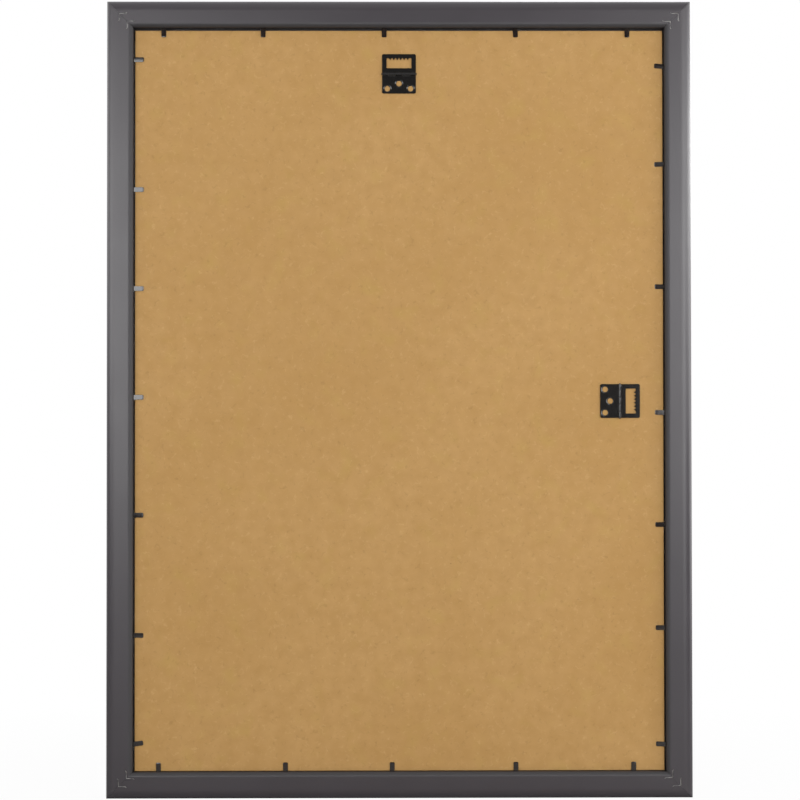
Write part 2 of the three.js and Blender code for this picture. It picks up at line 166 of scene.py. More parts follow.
def combined(mesh, operation, other):
    """Two solids cut or joined: the first mesh with the other taken away from it or added to it."""
    objects = [bpy.data.objects.new("solid", m) for m in (mesh, other)]
    for solid in objects:
        bpy.context.scene.collection.objects.link(solid)
    step = objects[0].modifiers.new("step", "BOOLEAN")
    step.operation = operation
    step.solver = "EXACT"
    step.object = objects[1]
    bpy.context.view_layer.update()
    seen = objects[0].evaluated_get(bpy.context.evaluated_depsgraph_get())
    result = bpy.data.meshes.new_from_object(seen)
    for solid in objects:
        bpy.data.objects.remove(solid)
    return result


def piece_of(name, mesh, materials, slot, *nodes):
    """A piece that stands for CAD nodes, shaded round where it bends gently and flat elsewhere."""
    mesh.shade_smooth()
    mesh.set_sharp_from_angle(angle=ROUND_UNDER)
    mesh.materials.clear()
    for material in materials:
        mesh.materials.append(material)
    piece = bpy.data.objects.new(name, mesh)
    bpy.context.scene.collection.objects.link(piece)
    flats = piece.modifiers.new("flat faces stay flat", "WEIGHTED_NORMAL")
    flats.keep_sharp = True
    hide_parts(*nodes)
    return piece


def linear(hex_colour):
    """An sRGB hex colour as the linear RGBA that shaders take."""
    parts = [int(hex_colour[i : i + 2], 16) / 255 for i in (1, 3, 5)]
    return (*[c / 12.92 if c <= 0.04045 else ((c + 0.055) / 1.055) ** 2.4 for c in parts], 1)


def add(tree, kind, inputs=None, **settings):
    """Adds a node with its settings, and sets or links its inputs."""
    made = tree.nodes.new(kind)
    for name, value in settings.items():
        setattr(made, name, value)
    for name, value in (inputs or {}).items():
        if isinstance(value, bpy.types.NodeSocket):
            tree.links.new(value, made.inputs[name])
        else:
            made.inputs[name].default_value = value
    return made


def new_material(name):
    """A material with its node tree, its shader, and each point's own place in metres."""
    material = bpy.data.materials.new(name)
    material.use_nodes = True
    tree = material.node_tree
    place = add(tree, "ShaderNodeTexCoord").outputs["Object"]
    return material, tree, tree.nodes["Principled BSDF"], place


# Polystyrene skin, drawn through a die: satin, so lamps show as broad soft glows, with faint lines along
# the run and a slightly uneven gloss. Where the shoulder dips to the rebate, the gloss fades and the skin is
# painted darker, as painted shade. The lines are drawn 2 mm apart, coarser than real ones, so that they
# show.
DIE_LINE = 2
DIE_LINE_RUN = 400
DIE_LINE_HEIGHT = 0.006
GLOSS_PATCH = 45
TONE_PATCH = 90
# The same span darkens the skin: painted shade where the shoulder dips to the rebate.
DULL_SHADED_SHOULDER = (20.2, 22.6)  # in from the outer edge, where the polish fades out
DULL_ROUGHNESS = 0.62


def extruded_polystyrene(run):
    """The skin of a rail that runs along one axis."""
    material, tree, shader, place = new_material(f"extruded polystyrene along {'XYZ'[run]}")
    stretch = [1 / (DIE_LINE * MM)] * 3
    stretch[run] = 1 / (DIE_LINE_RUN * MM)
    drawn = add(tree, "ShaderNodeMapping", {"Vector": place, "Scale": stretch}).outputs["Vector"]
    lines = add(tree, "ShaderNodeTexNoise", {"Vector": drawn, "Scale": 1, "Detail": 2}).outputs["Fac"]
    bump = add(tree, "ShaderNodeBump", {"Height": lines, "Strength": 1, "Distance": DIE_LINE_HEIGHT * MM})

    centred = add(tree, "ShaderNodeVectorMath", {0: place, 1: whole_middle}, operation="SUBTRACT")
    off = add(tree, "ShaderNodeVectorMath", {0: centred.outputs["Vector"]}, operation="ABSOLUTE")
    inset = add(
        tree,
        "ShaderNodeVectorMath",
        {0: whole_half, 1: off.outputs["Vector"]},
        operation="SUBTRACT",
    )
    insets = add(tree, "ShaderNodeSeparateXYZ", {"Vector": inset.outputs["Vector"]}).outputs
    inward = add(tree, "ShaderNodeMath", {0: insets["X"], 1: insets["Z"]}, operation="MINIMUM")
    dull_shade_start, dull_shade_end = DULL_SHADED_SHOULDER
    dull_and_shaded = add(
        tree,
        "ShaderNodeMapRange",
        {"Value": inward.outputs["Value"], "From Min": dull_shade_start * MM, "From Max": dull_shade_end * MM},
    ).outputs["Result"]

    patches = add(tree, "ShaderNodeTexNoise", {"Vector": place, "Scale": 1 / (GLOSS_PATCH * MM)})
    gloss = add(
        tree,
        "ShaderNodeMapRange",
        {"Value": patches.outputs["Fac"], "To Min": 0.3, "To Max": 0.38},
    )
    finish = add(
        tree,
        "ShaderNodeMix",
        {"Factor": dull_and_shaded, "A": gloss.outputs["Result"], "B": DULL_ROUGHNESS},
        data_type="FLOAT",
    )
    tones = add(tree, "ShaderNodeTexNoise", {"Vector": place, "Scale": 1 / (TONE_PATCH * MM)})
    grey = add(
        tree,
        "ShaderNodeMix",
        {"Factor": tones.outputs["Fac"], "A": linear("#2d282d"), "B": linear("#332d33")},
        data_type="RGBA",
    )
    # Painted shade: the skin is darkened over the shoulder, towards the rebate.
    skin = add(
        tree,
        "ShaderNodeMix",
        {"Factor": dull_and_shaded, "A": grey.outputs["Result"], "B": linear("#1d1a1e")},
        data_type="RGBA",
    )
    tree.links.new(skin.outputs["Result"], shader.inputs["Base Color"])
    tree.links.new(finish.outputs["Result"], shader.inputs["Roughness"])
    tree.links.new(bump.outputs["Normal"], shader.inputs["Normal"])
    shader.inputs["IOR"].default_value = 1.65
    return material


rail_section = eased(
    [
        (0, 0, *BACK_EDGE_EASE),
        (SHOULDER_START, 0, SHOULDER_EASE, SHOULDER_EASE),
        (REBATE_WALL, SHOULDER_DROP, *REBATE_EDGE_EASE),
        (REBATE_WALL, LIP_BACK, LIP_ROOT_EASE, LIP_ROOT_EASE),
        (RAIL_WIDTH, LIP_BACK, LIP_EDGE_EASE, LIP_EDGE_EASE),
        (RAIL_WIDTH, RAIL_DEPTH, FRONT_EDGE_EASE, FRONT_EDGE_EASE),
        (0, RAIL_DEPTH, FRONT_EDGE_EASE, FRONT_EDGE_EASE),
    ],
    closed=True,
)

# The nails across the mitres cut their own slots in the rails, so their shape is settled here
NAIL_CORNERS = {"outer": 12, "inner": 19.5}  # bend of each nail, from both outer edges
NAIL_ARM = 6.5
NAIL_HOOK = 0.9  # how far the end of each arm turns out
NAIL_BEND_EASE = 0.7
NAIL_HOOK_EASE = (0.5, 0.8)  # towards the tip and towards the bend
NAIL_STRIP = 0.5
NAIL_HEIGHT = 8
NAIL_SLOT_PLAY = 0.35
SLOT_CUT_PROUD = 1  # how far the cut for a slot stands out of the back
CORNERS = {
    "bottom_left": ("left", "bottom"),
    "bottom_right": ("right", "bottom"),
    "top_right": ("right", "top"),
    "top_left": ("left", "top"),
}


def at_corner(corner, across, up, depth):
    """A point at a corner: mm in from its upright side and its level side, and forward from the wall."""
    ways = [SIDES[side][1] for side in CORNERS[corner]]
    point = whole_middle.copy()
    for way, inset in zip(ways, (across, up)):
        point += way * (inset * MM - abs(whole_half.dot(way)))
    point.y = whole_low.y + depth * MM
    return point


def add_nail(shape, corner, row, strip, top):
    """Adds a nail, or with a thicker strip and a higher top, the slot that it stands in."""
    bend = NAIL_CORNERS[row]
    end = bend + NAIL_ARM
    arm = [(end + NAIL_HOOK, bend - NAIL_HOOK, 0, 0), (end, bend, *NAIL_HOOK_EASE)]
    other_arm = [(y, x, after, before) for x, y, before, after in reversed(arm)]
    outline = eased([*arm, (bend, bend, NAIL_BEND_EASE, NAIL_BEND_EASE), *other_arm], closed=False)
    height = NAIL_HEIGHT - top
    line = [at_corner(corner, x, y, top + height / 2) for x, y in outline]
    bent_strip(shape, line, [height] * len(line), strip, Vector((0, 1, 0)))


for side in SIDES:
    along_way = SIDES[side][0]
    half_length = abs(whole_half.dot(along_way)) / MM
    sawn_ends = []
    for end in (-1, 1):
        sawn_end = []
        for inward, depth in rail_section:
            along = end * (half_length - inward - MITRE_GAP / 2)
            sawn_end.append(on_side(side, along, inward, depth))
        sawn_ends.append(sawn_end)
    rail_shape = bmesh.new()
    loft(rail_shape, sawn_ends)
    slots = bmesh.new()
    for corner, meeting in CORNERS.items():
        if side in meeting:
            for row in NAIL_CORNERS:
                add_nail(slots, corner, row, NAIL_STRIP + NAIL_SLOT_PLAY, -SLOT_CUT_PROUD)
    moulding = combined(mesh_of(rail_shape), "DIFFERENCE", mesh_of(slots))
    run = max(range(3), key=lambda axis: abs(along_way[axis]))
    skin = extruded_polystyrene(run)
    rail = piece_of(f"moulding_{side}", moulding, [skin], "rail_moulding", f"rail_{side}")
    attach(rail, "frame")

# V-nails
# Two bent strips of bright steel across each mitre, driven into the back by an underpinner until their
# upper edges are flush. The edges of their hooked arms show as fine light lines.

NAIL_SINK = 0.1

# Bright cold-rolled steel, sheared: a grey gleam, uneven along the sheared edge, and darker in random
# patches that keep the nails faint.
bright_steel, tree, shader, place = new_material("bright cold-rolled steel")
SHEAR_MARK = 0.8
DARK_PATCH = 3.5
shear = add(tree, "ShaderNodeTexNoise", {"Vector": place, "Scale": 1 / (SHEAR_MARK * MM)}).outputs["Fac"]
shear_gloss = add(tree, "ShaderNodeMapRange", {"Value": shear, "To Min": 0.35, "To Max": 0.5})
dark_patch_noise = add(tree, "ShaderNodeTexNoise", {"Vector": place, "Scale": 1 / (DARK_PATCH * MM)}).outputs["Fac"]
darker_patches = add(tree, "ShaderNodeMapRange", {"Value": dark_patch_noise, "From Min": 0.48, "From Max": 0.62})
steel_tone = add(
    tree,
    "ShaderNodeMix",
    {"Factor": darker_patches.outputs["Result"], "A": linear("#c8c6c3"), "B": linear("#828081")},
    data_type="RGBA",
)
tree.links.new(steel_tone.outputs["Result"], shader.inputs["Base Color"])
tree.links.new(shear_gloss.outputs["Result"], shader.inputs["Roughness"])
shader.inputs["Metallic"].default_value = 1

for corner in CORNERS:
    for row in NAIL_CORNERS:
        nail_shape = bmesh.new()
        add_nail(nail_shape, corner, row, NAIL_STRIP, NAIL_SINK)
        name = f"v_nail_{corner}_{row}"
        nail = piece_of(f"steel_{name}", mesh_of(nail_shape), [bright_steel], "bare_steel", name)
        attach(nail, "frame")

# Glass pane
# A sheet of 2 mm float glass, cut to the picture's size, lying on the lip of the rebate. Its edges are
# arrissed so that they can be handled.

GLASS_ARRIS = 0.3


def add_sheet(shape, low, high, ease):
    """Adds a flat sheet between the corners of its box, with its edges broken."""
    ease *= MM
    rings = []
    for y, inset in ((low.y, ease), (low.y + ease, 0), (high.y - ease, 0), (high.y, ease)):
        xs, zs = (low.x + inset, high.x - inset), (low.z + inset, high.z - inset)
        rings.append([Vector((xs[i], y, zs[j])) for i, j in ((0, 0), (1, 0), (1, 1), (0, 1))])
    loft(shape, rings)


# Float glass: clear, with a faint green body and a film of dust that dulls the gloss in patches. Light from
# lamps passes straight through it, as it nearly does through a thin flat sheet.
float_glass, tree, shader, place = new_material("float glass")
DUST_PATCH = 60
dust = add(tree, "ShaderNodeTexNoise", {"Vector": place, "Scale": 1 / (DUST_PATCH * MM), "Detail": 4})
haze = add(
    tree,
    "ShaderNodeMapRange",
    {"Value": dust.outputs["Fac"], "From Min": 0.5, "To Min": 0, "To Max": 0.04},
)
glass_body = linear("#fbfdfc")
shader.inputs["Base Color"].default_value = glass_body
shader.inputs["IOR"].default_value = 1.52
shader.inputs["Transmission Weight"].default_value = 1
tree.links.new(haze.outputs["Result"], shader.inputs["Roughness"])
clear = add(tree, "ShaderNodeBsdfTransparent", {"Color": glass_body}).outputs["BSDF"]
lamp_rays = add(tree, "ShaderNodeLightPath").outputs["Is Shadow Ray"]
through = add(tree, "ShaderNodeMixShader", {0: lamp_rays, 1: shader.outputs["BSDF"], 2: clear})
tree.links.new(through.outputs["Shader"], tree.nodes["Material Output"].inputs["Surface"])

glass_shape = bmesh.new()
add_sheet(glass_shape, *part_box("glass_pane"), GLASS_ARRIS)
glass = piece_of("float_glass_pane", mesh_of(glass_shape), [float_glass], "glass", "glass_pane")
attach(glass, "frame")

# Picture
# A blank sheet of stout uncoated paper behind the glass, where a print would go. It is cut to the same size
# as the glass, and held flat between that and the board.

PAPER_EDGE = 0.05
PAPER_TOOTH = 1.2
PAPER_TOOTH_HEIGHT = 0.02

# Uncoated paper: matt and off-white, with a fine tooth. The tooth is drawn about 1 mm wide, coarser than a
# real one, so that it shows.
uncoated_paper, tree, shader, place = new_material("uncoated paper")
grain = add(tree, "ShaderNodeTexNoise", {"Vector": place, "Scale": 1 / (PAPER_TOOTH * MM), "Detail": 3})
tooth = grain.outputs["Fac"]
paper_tone = add(
    tree,
    "ShaderNodeMix",
    {"Factor": tooth, "A": linear("#e9e6de"), "B": linear("#f4f2ec")},
    data_type="RGBA",
)
paper_bump = add(tree, "ShaderNodeBump", {"Height": tooth, "Distance": PAPER_TOOTH_HEIGHT * MM})
tree.links.new(paper_tone.outputs["Result"], shader.inputs["Base Color"])
tree.links.new(paper_bump.outputs["Normal"], shader.inputs["Normal"])
shader.inputs["Roughness"].default_value = 0.9

picture_shape = bmesh.new()
add_sheet(picture_shape, *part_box("picture_sheet"), PAPER_EDGE)
picture = piece_of("blank_print", mesh_of(picture_shape), [uncoated_paper], "paper", "picture_sheet")
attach(picture, "frame")

# Hangers
# Two hinged sawtooth hangers, stamped from 0.6 mm steel and lacquered black, one for hanging upright and
# one for sideways. The base leaf's holes are punched in place: four petals of each go through the board and
# are clinched in front.

LEAF_WIDTH = 32
LEAF_SHEET = 0.6
LEAF_CORNER = 1.6
SAW_REACH = 19  # hinge axis to free edge
BASE_REACH = 18.5
AXIS_RISE = 0.95  # hinge axis off the leaf's middle, and the radius that the knuckles are rolled to
LEAF_SETBACK = 1.15  # hinge axis to a leaf's edge beside the other leaf's knuckles
KNUCKLE_ROOT = 3.2  # hinge axis to where a knuckle's strip starts on the flat leaf
KNUCKLE_FOOT = (1.6, 0)  # where it turns up from the leaf: from the axis, and rise
KNUCKLE_FOOT_EASE = 0.4
KNUCKLE_KNEE = (1.45, 0.95)  # where it leans over towards the pin
KNUCKLE_KNEE_EASE = 0.3
KNUCKLE_RAMP = math.radians(40)  # where the strip meets the roll round the pin
KNUCKLE_END = math.radians(250)
KNUCKLE_STEP = math.radians(12)
SAW_KNUCKLES = [(-16, -10.5), (-3.1, 3.1), (10.5, 16)]
BASE_KNUCKLES = [(-10.4, -3.2), (3.2, 10.4)]
HINGES = {
    "upper": (Vector((1, 0, 0)), Vector((0, 0, 1))),
    "side": (Vector((0, 0, 1)), Vector((1, 0, 0))),
}
QUARTER_TURN = [math.radians(18 * k) for k in range(6)]
joint_places = {joint["name"]: Vector(joint["pos_m"]) for joint in frame["joints"]}


def at_hinge(hanger, across, reach, rise):
    """A point by a hanger: mm along its hinge, from the axis to the saw leaf, and off the leaves' middle."""
    along_way, reach_way = HINGES[hanger]
    point = joint_places[f"{hanger}_leaf_hinge"] + (along_way * across + reach_way * reach) * MM
    point.y -= (rise - AXIS_RISE) * MM
    return point


def leaf_mesh(hanger, way, reach, knuckles, add_cutters):
    """A flat leaf with strips rolled to knuckles along the hinge, and with its openings cut out."""

    def place_of(across, out, rise):
        return at_hinge(hanger, across, way * out, rise)

    hinge_way = HINGES[hanger][0]
    flat = [(reach - LEAF_CORNER * (1 - math.cos(turn)), 0) for turn in QUARTER_TURN]
    widths = [LEAF_WIDTH - 2 * LEAF_CORNER * (1 - math.sin(turn)) for turn in QUARTER_TURN]
    flat.append((LEAF_SETBACK, 0))
    widths.append(LEAF_WIDTH)
    leaf = bmesh.new()
    bent_strip(leaf, [place_of(0, *point) for point in flat], widths, LEAF_SHEET, hinge_way)

    rise = [
        (KNUCKLE_ROOT, 0, 0, 0),
        (*KNUCKLE_FOOT, KNUCKLE_FOOT_EASE, KNUCKLE_FOOT_EASE),
        (*KNUCKLE_KNEE, KNUCKLE_KNEE_EASE, KNUCKLE_KNEE_EASE),
        (AXIS_RISE * math.cos(KNUCKLE_RAMP), AXIS_RISE * (1 + math.sin(KNUCKLE_RAMP)), 0, 0),
    ]
    roll = [tuple(point) for point in eased(rise, closed=False)]
    steps = round((KNUCKLE_END - KNUCKLE_RAMP) / KNUCKLE_STEP)
    for k in range(1, steps + 1):
        turn = KNUCKLE_RAMP + (KNUCKLE_END - KNUCKLE_RAMP) * k / steps
        roll.append((AXIS_RISE * math.cos(turn), AXIS_RISE * (1 + math.sin(turn))))
    rolls = bmesh.new()
    for start, end in knuckles:
        line = [place_of((start + end) / 2, *point) for point in roll]
        bent_strip(rolls, line, [end - start] * len(line), LEAF_SHEET, hinge_way)
    stamping = combined(mesh_of(leaf), "UNION", mesh_of(rolls))

    cutters = bmesh.new()
    add_cutters(cutters, place_of)
    return combined(stamping, "DIFFERENCE", mesh_of(cutters))


# The saw leaf's window: arched notches between pointed teeth along its outer edge, for the nail
WINDOW_HALF = 11.8
WINDOW_SILL = 5.6  # from the hinge axis
WINDOW_CORNER = 1
SILL_CORNER = 0.5
WINDOW_CUT = (-1, 4)  # from where to where the cut runs, off the leaf's middle
NOTCH_ROOT = 15.3
NOTCHES = 5
NOTCH_STEPS = 10
TOOTH_DEPTH = 2.1
TOOTH_PITCH = 3.3


def add_window(cutters, place_of):
    """Adds the toothed window to cut out of a saw leaf."""
    corners = [
        (WINDOW_HALF, NOTCH_ROOT, WINDOW_CORNER, WINDOW_CORNER),
        (-WINDOW_HALF, NOTCH_ROOT, WINDOW_CORNER, WINDOW_CORNER),
        (-WINDOW_HALF, WINDOW_SILL, SILL_CORNER, SILL_CORNER),
        (WINDOW_HALF, WINDOW_SILL, SILL_CORNER, SILL_CORNER),
    ]
    plain = [tuple(point) for point in eased(corners, closed=True)]
    teeth_half = (NOTCHES / 2 + 0.5) * TOOTH_PITCH
    teeth = []
    for k in range((NOTCHES + 1) * NOTCH_STEPS + 1):
        across = teeth_half - k * TOOTH_PITCH / NOTCH_STEPS
        arch = abs(math.cos(math.pi * across / TOOTH_PITCH))
        teeth.append((across, NOTCH_ROOT - TOOTH_DEPTH * (1 - arch)))
    corner_end = EASE_STEPS + 1
    outline = plain[:corner_end] + teeth + plain[corner_end:]
    loft(cutters, [[place_of(across, out, rise) for across, out in outline] for rise in WINDOW_CUT])


# The base leaf's holes, their edges drawn in by the punch, with a shallow dish around each
HOLES = [(-11, 13.8), (0, 9), (11, 13.8)]  # across, and from the axis
HOLE_RADIUS = 2.6
HOLE_SIDES = 36
HOLE_MOUTH = 0.8  # width of the drawn-in edge
MOUTH_TURN = [math.radians(15 * k) for k in range(6)]
HOLE_DISH = (0.55, 0.09)  # width and depth
HOLE_CUT = (-1, 1)  # from where to where the cut runs, off the leaf's middle


def add_holes(cutters, place_of):
    """Adds the round holes to cut out of a base leaf."""
    dish_width, dish_depth = HOLE_DISH
    cut_start, cut_end = HOLE_CUT
    mouth_height = LEAF_SHEET - dish_depth
    mouth = [(HOLE_RADIUS, cut_start)]
    for turn in MOUTH_TURN:
        radius = HOLE_RADIUS + HOLE_MOUTH * (1 - math.cos(turn))
        mouth.append((radius, mouth_height * math.sin(turn) - LEAF_SHEET / 2))
    dish_edge = HOLE_RADIUS + HOLE_MOUTH + dish_width
    mouth += [(dish_edge, LEAF_SHEET / 2), (dish_edge, cut_end)]
    turns = [math.radians(360 / HOLE_SIDES * k) for k in range(HOLE_SIDES)]
    for across, out in HOLES:
        rings = [
            [place_of(across + radius * math.cos(t), out + radius * math.sin(t), rise) for t in turns]
            for radius, rise in mouth
        ]
        loft(cutters, rings)


# The petals of each hole, folded through the board and out along its front
PETALS = 4
PETAL_SHEET = 0.5
PETAL_RADIUS = 3  # from the hole's middle to where a petal goes through
PETAL_ROOT = 0.9  # how far it lies in the leaf before the fold
PETAL_FOOT = 1.8  # how far it lies along the board's front
PETAL_DEPTH = 3.1  # from the leaf's middle to the foot
PETAL_EASE = 0.5
PETAL_WIDTHS = (2.4, 0.8)  # at the root and at the tip


def add_petals(shape, hanger, play):
    """Adds the clinched petals of a base leaf, or with some play, the holes that they tear in the board."""
    along_way, reach_way = HINGES[hanger]
    folds = [
        (PETAL_RADIUS + PETAL_ROOT, 0, 0, 0),
        (PETAL_RADIUS, 0, PETAL_EASE, PETAL_EASE),
        (PETAL_RADIUS, PETAL_DEPTH, PETAL_EASE, PETAL_EASE),
        (PETAL_RADIUS + PETAL_FOOT, PETAL_DEPTH, 0, 0),
    ]
    path = eased(folds, closed=False)
    root, tip = PETAL_WIDTHS
    widths = [root + (tip - root) * k / (len(path) - 1) + play for k in range(len(path))]
    for across, out in HOLES:
        centre = at_hinge(hanger, across, -out, 0)
        for k in range(PETALS):
            turn = math.radians(360 / PETALS * (k + 0.5))
            way = along_way * math.cos(turn) + reach_way * math.sin(turn)
            line = [centre + way * (radius * MM) + Vector((0, depth * MM, 0)) for radius, depth in path]
            bent_strip(shape, line, widths, PETAL_SHEET + play, way.cross(Vector((0, 1, 0))))


# The wire pin, with both ends peened over into low domes
PIN_RADIUS = 0.45
PIN_HALF = 16.3
PIN_HEAD_RADIUS = 0.95
PIN_HEAD_RIM = 0.15
PIN_HEAD_DOME = 0.35  # rise of the dome over the rim
PIN_SIDES = 20
DOME_TURN = [math.radians(25 * k) for k in range(4)]
pin_half_profile = [(PIN_RADIUS, PIN_HALF), (PIN_HEAD_RADIUS, PIN_HALF)]
for turn in DOME_TURN:
    rise = PIN_HEAD_RIM + PIN_HEAD_DOME * math.sin(turn)
    pin_half_profile.append((PIN_HEAD_RADIUS * math.cos(turn), PIN_HALF + rise))
pin_profile = [(radius, -along) for radius, along in reversed(pin_half_profile)] + pin_half_profile
pin_turns = [2 * math.pi * k / PIN_SIDES for k in range(PIN_SIDES)]

# Black lacquer on steel: nearly black and glossy, with a fine orange peel in its tone, its gloss and its
# surface. The orange peel is drawn 1.5 mm wide, coarser than a real one, so that it shows.
black_lacquer, tree, shader, place = new_material("black lacquered steel")
ORANGE_PEEL = 1.5
ORANGE_PEEL_HEIGHT = 0.0015
ripple = add(tree, "ShaderNodeTexNoise", {"Vector": place, "Scale": 1 / (ORANGE_PEEL * MM), "Detail": 2})
peel = ripple.outputs["Fac"]
lacquer_tone = add(
    tree,
    "ShaderNodeMix",
    {"Factor": peel, "A": linear("#151413"), "B": linear("#1f1d1c")},
    data_type="RGBA",
)
lacquer_gloss = add(tree, "ShaderNodeMapRange", {"Value": peel, "To Min": 0.08, "To Max": 0.12})
lacquer_bump = add(tree, "ShaderNodeBump", {"Height": peel, "Distance": ORANGE_PEEL_HEIGHT * MM})
tree.links.new(lacquer_tone.outputs["Result"], shader.inputs["Base Color"])
tree.links.new(lacquer_gloss.outputs["Result"], shader.inputs["Roughness"])
tree.links.new(lacquer_bump.outputs["Normal"], shader.inputs["Normal"])

for hanger in HINGES:
    saw_leaf = leaf_mesh(hanger, 1, SAW_REACH, SAW_KNUCKLES, add_window)
    saw_node = f"{hanger}_hanger_saw_leaf"
    saw = piece_of(f"{hanger}_saw_stamping", saw_leaf, [black_lacquer], "hanger_steel", saw_node)
    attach(saw, f"{hanger}_saw_leaf")

    petals = bmesh.new()
    add_petals(petals, hanger, 0)
    base_leaf = leaf_mesh(hanger, -1, BASE_REACH, BASE_KNUCKLES, add_holes)
    base_leaf = combined(base_leaf, "UNION", mesh_of(petals))
    base_node = f"{hanger}_hanger_base"
    base = piece_of(f"{hanger}_base_stamping", base_leaf, [black_lacquer], "hanger_steel", base_node)
    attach(base, "frame")

    pin_shape = bmesh.new()
    rings = [
        [at_hinge(hanger, along, radius * math.cos(t), AXIS_RISE + radius * math.sin(t)) for t in pin_turns]
        for radius, along in pin_profile
    ]
    loft(pin_shape, rings)
    pin_node = f"{hanger}_hanger_pin"
    pin = piece_of(f"{hanger}_wire_pin", mesh_of(pin_shape), [black_lacquer], "hanger_steel", pin_node)
    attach(pin, "frame")

# Backing board
# A panel of 3 mm hardboard that closes the back: wood fibre pressed smooth and sawn to size, with fuzzy
# pale edges. Both hangers are clinched through it, so it is torn under each hole of their bases.

BOARD_EASE = 0.7
FACE_ON = 0.9  # faces that look this squarely out of the board are pressed, and the others are sawn
PETAL_PLAY = 0.25
CLINCH_RADIUS = 5.2
CLINCH_SIDES = 24
CLINCH_CONE = ((2.7, 0.8), (5, 1.1))  # depth from the leaf's middle, and share of the radius there
BLOTCH = 13
SLOW_TONE = 150
OLIVE_PATCH = 20.8
FIBRE_CURL = 7
FIBRE_WIDTH = 0.035  # share of the fibre pattern's range, about 0.6 mm wide
FIBRE_BREAK = 5
FIBRE_SHOWS = (0.55, 0.62)  # where a fibre begins and is full in the noise that breaks it
FLECK_SPACING = 7
FLECK_RADIUS = 0.9
SPECK_SPACING = 55
SPECK_RADIUS = 0.8
SPOT_CORE = 0.4  # share of a fleck's radius that has its full colour
SPOT_FADE = 0.1  # share of places with a fainter fleck
NAP = 0.9
NAP_HEIGHT = 0.02
TORN_FIBRE = 1.8


def add_clinch_dents(shape, hanger):
    """Adds the dents that clinching the petals of a base leaf leaves in the board's front."""
    turns = [2 * math.pi * k / CLINCH_SIDES for k in range(CLINCH_SIDES)]
    ring = [(CLINCH_RADIUS * math.cos(t), CLINCH_RADIUS * math.sin(t)) for t in turns]
    for across, out in HOLES:
        rings = [
            [at_hinge(hanger, across + x * spread, y * spread - out, -depth) for x, y in ring]
            for depth, spread in CLINCH_CONE
        ]
        loft(shape, rings)


# Hardboard face: matt tan with soft clouds of tone, curled pale and dark fibres, flecks of bark and a few
# dark specks. Fibres, flecks and nap are drawn a little coarser than real ones, so that they show.
hardboard_face, tree, shader, place = new_material("hardboard face")

# Clouds: size, detail, where they begin and are full in the noise, share and colour. Here and below, noises
# of one size differ in W, so that no two patterns lie alike.
CLOUDS = (
    (BLOTCH, 3, 0.3, 0.7, 1, "#b48c53"),
    (SLOW_TONE, 1, 0.35, 0.65, 0.4, "#a67d40"),
    (OLIVE_PATCH, 2, 0.55, 0.75, 0.35, "#ae8e45"),
)
tan = linear("#ab834a")
for seed, (size, detail, begins, full, share, colour) in enumerate(CLOUDS, start=1):
    cloud = add(
        tree,
        "ShaderNodeTexNoise",
        {"Vector": place, "W": seed, "Scale": 1 / (size * MM), "Detail": detail},
        noise_dimensions="4D",
    )
    cover = add(
        tree,
        "ShaderNodeMapRange",
        {"Value": cloud.outputs["Fac"], "From Min": begins, "From Max": full, "To Max": share},
    )
    tan = add(
        tree,
        "ShaderNodeMix",
        {"Factor": cover.outputs["Result"], "A": tan, "B": linear(colour)},
        data_type="RGBA",
    ).outputs["Result"]

# Fibres lie along the middle of a slow noise, and another breaks them up: W, colour and share
fibre_begins, fibre_full = FIBRE_SHOWS
for seed, colour, share in ((4, "#d5b47d", 0.19), (6, "#cfab75", 0.15), (8, "#936d3a", 0.4)):
    curl = add(
        tree,
        "ShaderNodeTexNoise",
        {"Vector": place, "W": seed, "Scale": 1 / (FIBRE_CURL * MM), "Detail": 1},
        noise_dimensions="4D",
    )
    centred = add(tree, "ShaderNodeMath", {0: curl.outputs["Fac"], 1: 0.5}, operation="SUBTRACT")
    off = add(tree, "ShaderNodeMath", {0: centred.outputs["Value"]}, operation="ABSOLUTE")
    strand = add(
        tree,
        "ShaderNodeMapRange",
        {"Value": off.outputs["Value"], "From Min": FIBRE_WIDTH, "From Max": 0},
    )
    breaks = add(
        tree,
        "ShaderNodeTexNoise",
        {"Vector": place, "W": seed + 1, "Scale": 1 / (FIBRE_BREAK * MM), "Detail": 1},
        noise_dimensions="4D",
    )
    lengths = add(
        tree,
        "ShaderNodeMapRange",
        {"Value": breaks.outputs["Fac"], "From Min": fibre_begins, "From Max": fibre_full, "To Max": share},
    )
    fibre = add(
        tree,
        "ShaderNodeMath",
        {0: strand.outputs["Result"], 1: lengths.outputs["Result"]},
        operation="MULTIPLY",
    )
    tan = add(
        tree,
        "ShaderNodeMix",
        {"Factor": fibre.outputs["Value"], "A": tan, "B": linear(colour)},
        data_type="RGBA",
    ).outputs["Result"]

# Flecks and specks: spacing, radius, the share of places left bare, colour and share
for spacing, radius, bare, colour, share in (
    (FLECK_SPACING, FLECK_RADIUS, 0.7, "#98733e", 0.4),
    (SPECK_SPACING, SPECK_RADIUS, 0.3, "#694d2b", 0.85),
):
    cells = add(tree, "ShaderNodeTexVoronoi", {"Vector": place, "Scale": 1 / (spacing * MM)})
    edge = radius / spacing
    core = SPOT_CORE * edge
    spot = add(
        tree,
        "ShaderNodeMapRange",
        {"Value": cells.outputs["Distance"], "From Min": edge, "From Max": core, "To Max": share},
    )
    chance = add(tree, "ShaderNodeSeparateColor", {"Color": cells.outputs["Color"]}).outputs["Red"]
    kept = add(
        tree,
        "ShaderNodeMapRange",
        {"Value": chance, "From Min": bare, "From Max": bare + SPOT_FADE},
    )
    fleck = add(
        tree,
        "ShaderNodeMath",
        {0: spot.outputs["Result"], 1: kept.outputs["Result"]},
        operation="MULTIPLY",
    )
    tan = add(
        tree,
        "ShaderNodeMix",
        {"Factor": fleck.outputs["Value"], "A": tan, "B": linear(colour)},
        data_type="RGBA",
    ).outputs["Result"]

